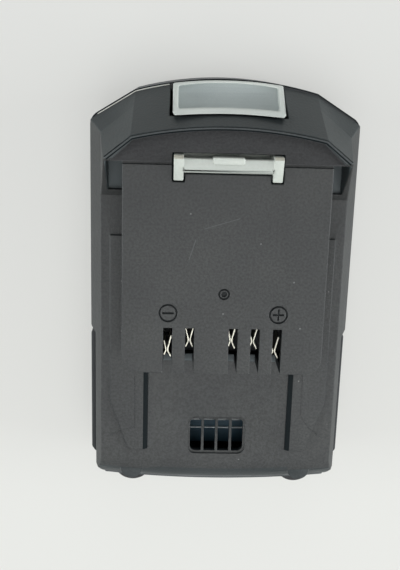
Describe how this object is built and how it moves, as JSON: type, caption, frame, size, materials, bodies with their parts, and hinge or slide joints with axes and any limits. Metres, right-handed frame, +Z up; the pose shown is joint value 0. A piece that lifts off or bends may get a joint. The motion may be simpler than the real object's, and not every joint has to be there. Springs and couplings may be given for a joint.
{
  "type": "power tool battery",
  "caption": "Slide-on battery pack for cordless tools: rail deck with contact slots, sprung latch with a release button, vented case over a row of cells.",
  "frame": {"origin": "middle of the box around the pack, on its base", "axes": "+Z up from the base to the rail deck, +Y along the pack to the end with the release button, +X across it"},
  "size_m": [0.0766, 0.1243, 0.0484],
  "materials": {
    "case_plastic": "fine spark-eroded grain",
    "tray_plastic": "fine spark-eroded grain",
    "grip_rubber": "matte",
    "latch_plastic": "satin",
    "button_plastic": "satin",
    "spring_steel": "drawn wire",
    "contact_metal": "tin plated",
    "holder_plastic": "matte",
    "board_laminate": "solder mask",
    "package_black": "moulded epoxy",
    "resistor_metal": "plain",
    "capacitor_cans": "satin",
    "fuse_body": "ceramic white",
    "thermistor_bead": "dipped",
    "carrier_plastic": "matte",
    "cell_wrap": "shrink sleeve",
    "nickel": "rolled strip",
    "insulating_paper": "fish paper",
    "foam": "closed-cell foam",
    "screw_steel": "black zinc"
  },
  "bodies": {
    "pack": {"upper_housing": "case_plastic", "lower_housing": "tray_plastic", "side_grip_left": "grip_rubber", "side_grip_right": "grip_rubber", "negative_contact": "contact_metal", "signal_contact_1": "contact_metal", "signal_contact_2": "contact_metal", "signal_contact_3": "contact_metal", "positive_contact": "contact_metal", "terminal_holder": "holder_plastic", "circuit_board": "board_laminate", "power_transistors": "package_black", "control_chip": "package_black", "shunt_resistor": "resistor_metal", "capacitors": "capacitor_cans", "fuse": "fuse_body", "thermistor": "thermistor_bead", "cell_1": "cell_wrap", "cell_2": "cell_wrap", "cell_3": "cell_wrap", "cell_4": "cell_wrap", "cell_5": "cell_wrap", "cell_carrier_left": "carrier_plastic", "cell_carrier_right": "carrier_plastic", "positive_strip": "nickel", "negative_strip": "nickel", "link_strip_1_2": "nickel", "link_strip_2_3": "nickel", "link_strip_3_4": "nickel", "link_strip_4_5": "nickel", "end_insulator_left": "insulating_paper", "end_insulator_right": "insulating_paper", "top_insulator": "insulating_paper", "foam_strip": "foam", "case_screws": "screw_steel", "board_screws": "screw_steel", "latch_springs": "spring_steel"},
    "latch": {"latch_hook": "latch_plastic", "release_button": "button_plastic"}
  },
  "joints": [
    {"name": "latch_press", "type": "slide", "parent": "pack", "child": "latch", "axis": [0, 0, -1], "range_m": [0, 0.003], "stiffness_N_per_m": 1500, "springref_m": -0.003, "deforming": ["latch_springs"]}
  ]
}
